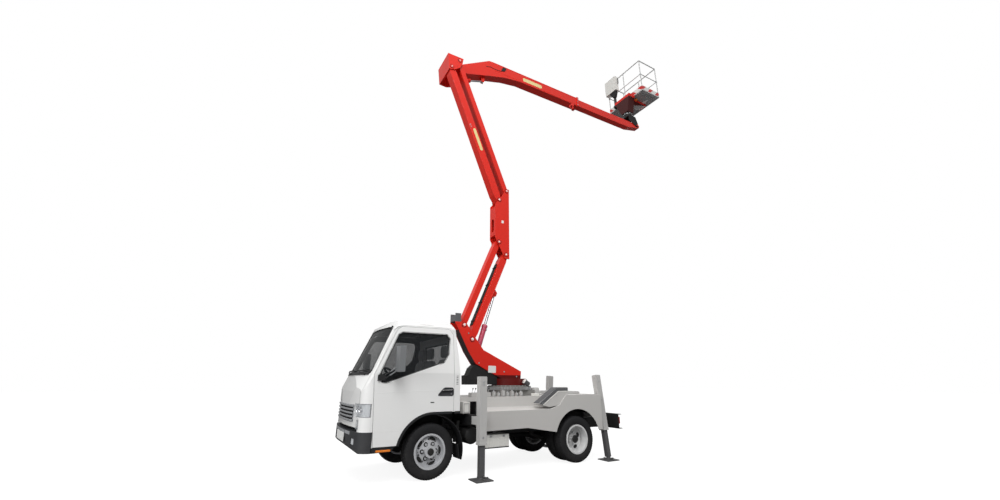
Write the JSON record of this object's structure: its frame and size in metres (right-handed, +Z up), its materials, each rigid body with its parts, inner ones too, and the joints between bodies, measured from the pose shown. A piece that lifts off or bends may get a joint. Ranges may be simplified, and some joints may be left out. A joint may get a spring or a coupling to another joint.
{
  "type": "cherry picker truck",
  "caption": "Light cab-over truck with a slewing articulated and telescopic boom, a working basket and four outriggers.",
  "frame": {"origin": "on the ground, midway between the axles, on the truck's centre line", "axes": "+X forwards, +Y to the truck's left, +Z up"},
  "size_m": [7.8111, 2.45, 10.19],
  "materials": {
    "black_plastic": "matte",
    "body_grey": "satin",
    "chrome": "polished",
    "dark_grey": "satin",
    "glass": "gloss",
    "lamp_lens": "gloss",
    "light_grey": "satin",
    "pink_red_paint": "gloss",
    "red_paint": "gloss",
    "rim_silver": "satin",
    "rim_white": "satin",
    "seat_cloth": "matte",
    "silver_plastic": "gloss",
    "tail_red": "gloss",
    "trim_grey": "matte",
    "tyre": "matte",
    "white_paint": "gloss"
  },
  "bodies": {
    "chassis": {"chassis_frame": "dark_grey", "engine_block": "dark_grey", "front_axle": "dark_grey", "rear_axle": "dark_grey", "leaf_springs": "dark_grey", "cab_shell": "white_paint", "cab_glass": "glass", "seats": "seat_cloth", "dashboard": "trim_grey", "grille": "silver_plastic", "headlamps": "lamp_lens", "bumper": "trim_grey", "mudguards": "black_plastic", "side_boxes": "light_grey", "step_boxes": "light_grey", "body_deck": "body_grey", "subframe": "dark_grey", "rear_outriggers": "light_grey", "rear_beam": "dark_grey", "tail_lamps": "tail_red"},
    "door_left": {"door_left": "white_paint", "door_glass_left": "glass", "mirror_left": "black_plastic"},
    "knuckle_left": {"knuckle_left": "dark_grey"},
    "wheel_front_left": {"tyre_front_left": "tyre", "rim_front_left": "rim_silver"},
    "wheels_rear_left": {"tyres_rear_left": "tyre", "rims_rear_left": "rim_white"},
    "outrigger_beam_left": {"outrigger_beam_left": "light_grey"},
    "outrigger_leg_left": {"outrigger_leg_left": "dark_grey"},
    "rear_leg_left": {"rear_leg_left": "dark_grey"},
    "door_right": {"door_right": "white_paint", "door_glass_right": "glass", "mirror_right": "black_plastic"},
    "knuckle_right": {"knuckle_right": "dark_grey"},
    "wheel_front_right": {"tyre_front_right": "tyre", "rim_front_right": "rim_silver"},
    "wheels_rear_right": {"tyres_rear_right": "tyre", "rims_rear_right": "rim_white"},
    "outrigger_beam_right": {"outrigger_beam_right": "light_grey"},
    "outrigger_leg_right": {"outrigger_leg_right": "dark_grey"},
    "rear_leg_right": {"rear_leg_right": "dark_grey"},
    "turret": {"turret_frame": "red_paint", "turret_base": "black_plastic"},
    "lower_link": {"lower_link": "red_paint"},
    "lower_boom": {"lower_boom": "red_paint"},
    "middle_head": {"middle_head": "red_paint"},
    "upper_boom": {"upper_boom": "red_paint"},
    "upper_link": {"upper_link": "red_paint"},
    "top_knuckle": {"top_knuckle": "red_paint"},
    "tele_outer": {"tele_outer": "red_paint"},
    "tele_inner": {"tele_inner": "red_paint"},
    "level_bracket": {"level_bracket": "dark_grey"},
    "lift_barrel": {"lift_barrel": "pink_red_paint"},
    "lift_rod": {"lift_rod": "chrome"},
    "luff_barrel": {"luff_barrel": "pink_red_paint"},
    "luff_rod": {"luff_rod": "chrome"},
    "basket": {"basket_support": "red_paint", "basket_cage": "light_grey", "control_box": "white_paint"}
  },
  "joints": [
    {"name": "steer_left", "type": "hinge", "parent": "chassis", "child": "knuckle_left", "pos_m": [1.25, 0.545, 0.35], "axis": [0, 0, 1], "range_deg": [-32, 32]},
    {"name": "wheel_front_left_spin", "type": "hinge", "parent": "knuckle_left", "child": "wheel_front_left", "pos_m": [1.25, 0.695, 0.35], "axis": [0, 1, 0], "continuous": true},
    {"name": "wheels_rear_left_spin", "type": "hinge", "parent": "chassis", "child": "wheels_rear_left", "pos_m": [-1.25, 0.6175, 0.35], "axis": [0, 1, 0], "continuous": true},
    {"name": "door_left_hinge", "type": "hinge", "parent": "chassis", "child": "door_left", "pos_m": [2.06, 0.8465, 1], "axis": [0, 0, -1], "range_deg": [0, 70]},
    {"name": "outrigger_beam_left_slide", "type": "slide", "parent": "chassis", "child": "outrigger_beam_left", "axis": [0, -1, 0], "range_m": [0, 0.16]},
    {"name": "outrigger_leg_left_slide", "type": "slide", "parent": "outrigger_beam_left", "child": "outrigger_leg_left", "axis": [0, 0, 1], "range_m": [0, 0.38]},
    {"name": "rear_leg_left_slide", "type": "slide", "parent": "chassis", "child": "rear_leg_left", "axis": [0, -0.1219, 0.9925], "range_m": [0, 0.35]},
    {"name": "steer_right", "type": "hinge", "parent": "chassis", "child": "knuckle_right", "pos_m": [1.25, -0.545, 0.35], "axis": [0, 0, 1], "range_deg": [-32, 32]},
    {"name": "wheel_front_right_spin", "type": "hinge", "parent": "knuckle_right", "child": "wheel_front_right", "pos_m": [1.25, -0.695, 0.35], "axis": [0, 1, 0], "continuous": true},
    {"name": "wheels_rear_right_spin", "type": "hinge", "parent": "chassis", "child": "wheels_rear_right", "pos_m": [-1.25, -0.6175, 0.35], "axis": [0, 1, 0], "continuous": true},
    {"name": "door_right_hinge", "type": "hinge", "parent": "chassis", "child": "door_right", "pos_m": [2.06, -0.8465, 1], "axis": [0, 0, 1], "range_deg": [0, 70]},
    {"name": "outrigger_beam_right_slide", "type": "slide", "parent": "chassis", "child": "outrigger_beam_right", "axis": [0, 1, 0], "range_m": [0, 0.16]},
    {"name": "outrigger_leg_right_slide", "type": "slide", "parent": "outrigger_beam_right", "child": "outrigger_leg_right", "axis": [0, 0, 1], "range_m": [0, 0.38]},
    {"name": "rear_leg_right_slide", "type": "slide", "parent": "chassis", "child": "rear_leg_right", "axis": [0, 0.1219, 0.9925], "range_m": [0, 0.35]},
    {"name": "turret_slew", "type": "hinge", "parent": "chassis", "child": "turret", "pos_m": [-0.45, 0, 1.18], "axis": [0, 0, 1], "range_deg": [-180, 180]},
    {"name": "lower_boom_lift", "type": "hinge", "parent": "turret", "child": "lower_boom", "pos_m": [0.325, 0, 1.925], "axis": [0, -1, 0], "range_deg": [0, 89.2]},
    {"name": "lower_link_foot", "type": "hinge", "parent": "turret", "child": "lower_link", "pos_m": [0.483, 0, 2.16], "axis": [0, -1, 0], "range_deg": [0, 89.2]},
    {"name": "middle_head_pivot", "type": "hinge", "parent": "lower_boom", "child": "middle_head", "pos_m": [-0.35315, 0, 3.53826], "axis": [0, -1, 0], "range_deg": [-89.2, 0]},
    {"name": "upper_boom_lift", "type": "hinge", "parent": "middle_head", "child": "upper_boom", "pos_m": [-0.203, 0, 4.655], "axis": [0, 1, 0], "range_deg": [0, 67.8]},
    {"name": "upper_link_foot", "type": "hinge", "parent": "middle_head", "child": "upper_link", "pos_m": [-0.371, 0, 4.88], "axis": [0, 1, 0], "range_deg": [0, 67.8]},
    {"name": "top_knuckle_pivot", "type": "hinge", "parent": "upper_boom", "child": "top_knuckle", "pos_m": [0.91919, 0, 7.40484], "axis": [0, 1, 0], "range_deg": [-67.8, 0]},
    {"name": "boom_luff", "type": "hinge", "parent": "top_knuckle", "child": "tele_outer", "pos_m": [0.82, -0.25, 7.578], "axis": [0, 1, 0], "range_deg": [-5, 75]},
    {"name": "telescope", "type": "slide", "parent": "tele_outer", "child": "tele_inner", "axis": [1, 0, 0], "range_m": [0, 1.82]},
    {"name": "basket_level", "type": "hinge", "parent": "tele_inner", "child": "level_bracket", "pos_m": [-4.87, -0.25, 8.17], "axis": [0, 1, 0], "range_deg": [-75, 5]},
    {"name": "basket_rotation", "type": "hinge", "parent": "level_bracket", "child": "basket", "pos_m": [-4.7, -0.3, 8.6], "axis": [0, 0, 1], "range_deg": [-45, 45]},
    {"name": "lift_barrel_pivot", "type": "hinge", "parent": "turret", "child": "lift_barrel", "pos_m": [0.225, 0, 1.584], "axis": [0, -1, 0], "range_deg": [0, 81.71]},
    {"name": "lift_rod_slide", "type": "slide", "parent": "lift_barrel", "child": "lift_rod", "axis": [-0.3018, 0, 0.9534], "range_m": [-0.4835, 0]},
    {"name": "luff_barrel_pivot", "type": "hinge", "parent": "top_knuckle", "child": "luff_barrel", "pos_m": [0.755, -0.25, 7.412], "axis": [0, 1, 0], "range_deg": [-4.51, 67.32]},
    {"name": "luff_rod_slide", "type": "slide", "parent": "luff_barrel", "child": "luff_rod", "axis": [-0.9427, 0, 0.3336], "range_m": [-0.0133, 0.186]}
  ],
  "couplings": [
    {"joint": "steer_right", "follows": "steer_left", "ratio": 1},
    {"joint": "lower_link_foot", "follows": "lower_boom_lift", "ratio": 1},
    {"joint": "middle_head_pivot", "follows": "lower_boom_lift", "ratio": -1},
    {"joint": "upper_link_foot", "follows": "upper_boom_lift", "ratio": 1},
    {"joint": "top_knuckle_pivot", "follows": "upper_boom_lift", "ratio": -1},
    {"joint": "basket_level", "follows": "boom_luff", "ratio": -1},
    {"joint": "lift_barrel_pivot", "follows": "lower_boom_lift", "ratio": 0.91579},
    {"joint": "lift_rod_slide", "follows": "lower_boom_lift", "m_per_rad": -0.30993},
    {"joint": "luff_barrel_pivot", "follows": "boom_luff", "ratio": 0.89737},
    {"joint": "luff_rod_slide", "follows": "boom_luff", "m_per_rad": 0.14131}
  ]
}
